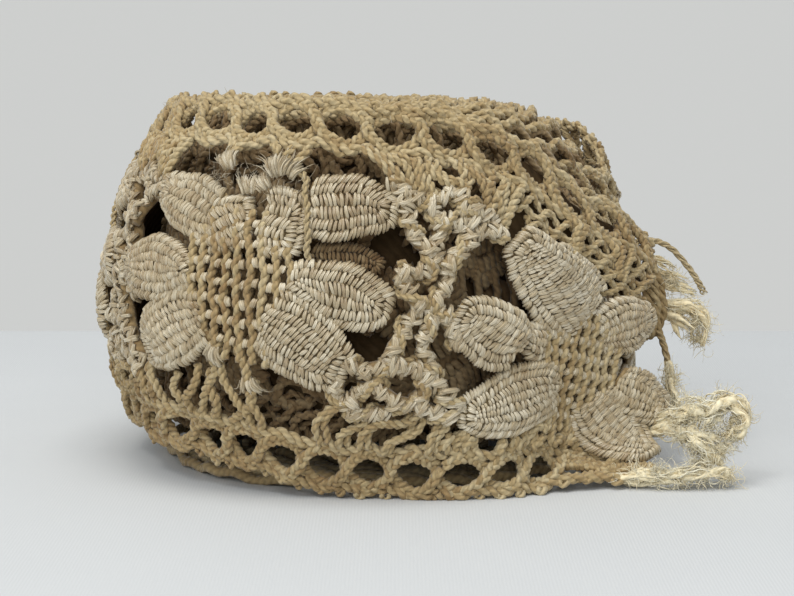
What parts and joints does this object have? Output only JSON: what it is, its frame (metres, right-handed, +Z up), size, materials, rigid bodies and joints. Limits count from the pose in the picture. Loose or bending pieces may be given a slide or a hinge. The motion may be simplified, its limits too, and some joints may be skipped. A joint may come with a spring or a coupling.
{
  "type": "roll of lace trim",
  "caption": "Loosely wound roll of ecru cotton lace trim with woven petal flowers, standing on its edge, its frayed loose end leaning out at one side.",
  "frame": {"origin": "on the surface it stands on, under the middle of the whole outline with its frayed end", "axes": "+Z up along the winding axis, +X towards the loose end, -Y the face with the leaning end in front"},
  "size_m": [0.0736, 0.0636, 0.0427],
  "materials": {
    "cotton_lace": "matte ecru two-ply cotton with paler glossy floss petals",
    "cotton_lace_end": "matte ecru cotton and glossy floss, frayed to pale fluff at the cut"
  },
  "bodies": {
    "root": {"wound_roll": "cotton_lace", "loose_end": "cotton_lace_end"}
  },
  "joints": []
}
